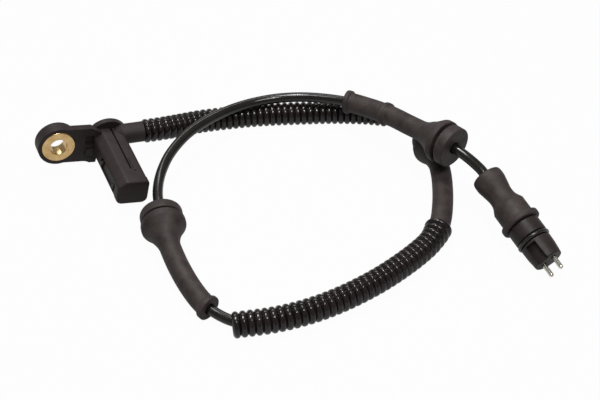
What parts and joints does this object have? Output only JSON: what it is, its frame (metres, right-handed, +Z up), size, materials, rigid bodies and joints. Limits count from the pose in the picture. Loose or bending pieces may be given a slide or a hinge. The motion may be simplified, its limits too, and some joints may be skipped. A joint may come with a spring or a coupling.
{
  "type": "abs wheel speed sensor with harness",
  "caption": "Wheel speed sensor: moulded head with ribbed tower and bushed ear, on a long cable with corrugated sleeves, disc-ended grommets and a round pin plug.",
  "frame": {"origin": "centre of the sensor head's footprint, on the surface that the head and its harness lie on", "axes": "+Z up; the head's tower points along -Y and its mounting ear lies towards -X; the harness lies ahead of the head towards +X and -Y"},
  "size_m": [0.1951, 0.164, 0.0366],
  "materials": {
    "moulding": "fine matt moulded surface",
    "bush_metal": "satin turned metal",
    "iron": "bare iron",
    "nylon": "natural nylon",
    "copper": "enamelled copper wire",
    "plated_metal": "plated",
    "core_skin": "thin insulation",
    "cable_skin": "glossy black sheath",
    "conduit": "glossy black corrugated tube",
    "rubber": "matt moulded rubber",
    "plug_moulding": "fine matt moulded surface",
    "seal": "smooth seal ring with a sheen",
    "pin_metal": "bright plated contact"
  },
  "bodies": {
    "root": {"sensor_housing": "moulding", "nose_cap": "moulding", "mounting_bush": "bush_metal", "pole_piece": "iron", "magnet": "iron", "coil_bobbin": "nylon", "coil_winding": "copper", "terminal_1": "plated_metal", "terminal_2": "plated_metal", "head_core_1": "core_skin", "head_core_2": "core_skin", "cable": "cable_skin", "conduit_1": "conduit", "conduit_2": "conduit", "grommet_1": "rubber", "grommet_2": "rubber", "grommet_3": "rubber", "plug_boot": "rubber", "plug_body": "plug_moulding", "plug_seal": "seal", "plug_pin_1": "pin_metal", "plug_pin_2": "pin_metal", "plug_core_1": "core_skin", "plug_core_2": "core_skin"}
  },
  "joints": []
}
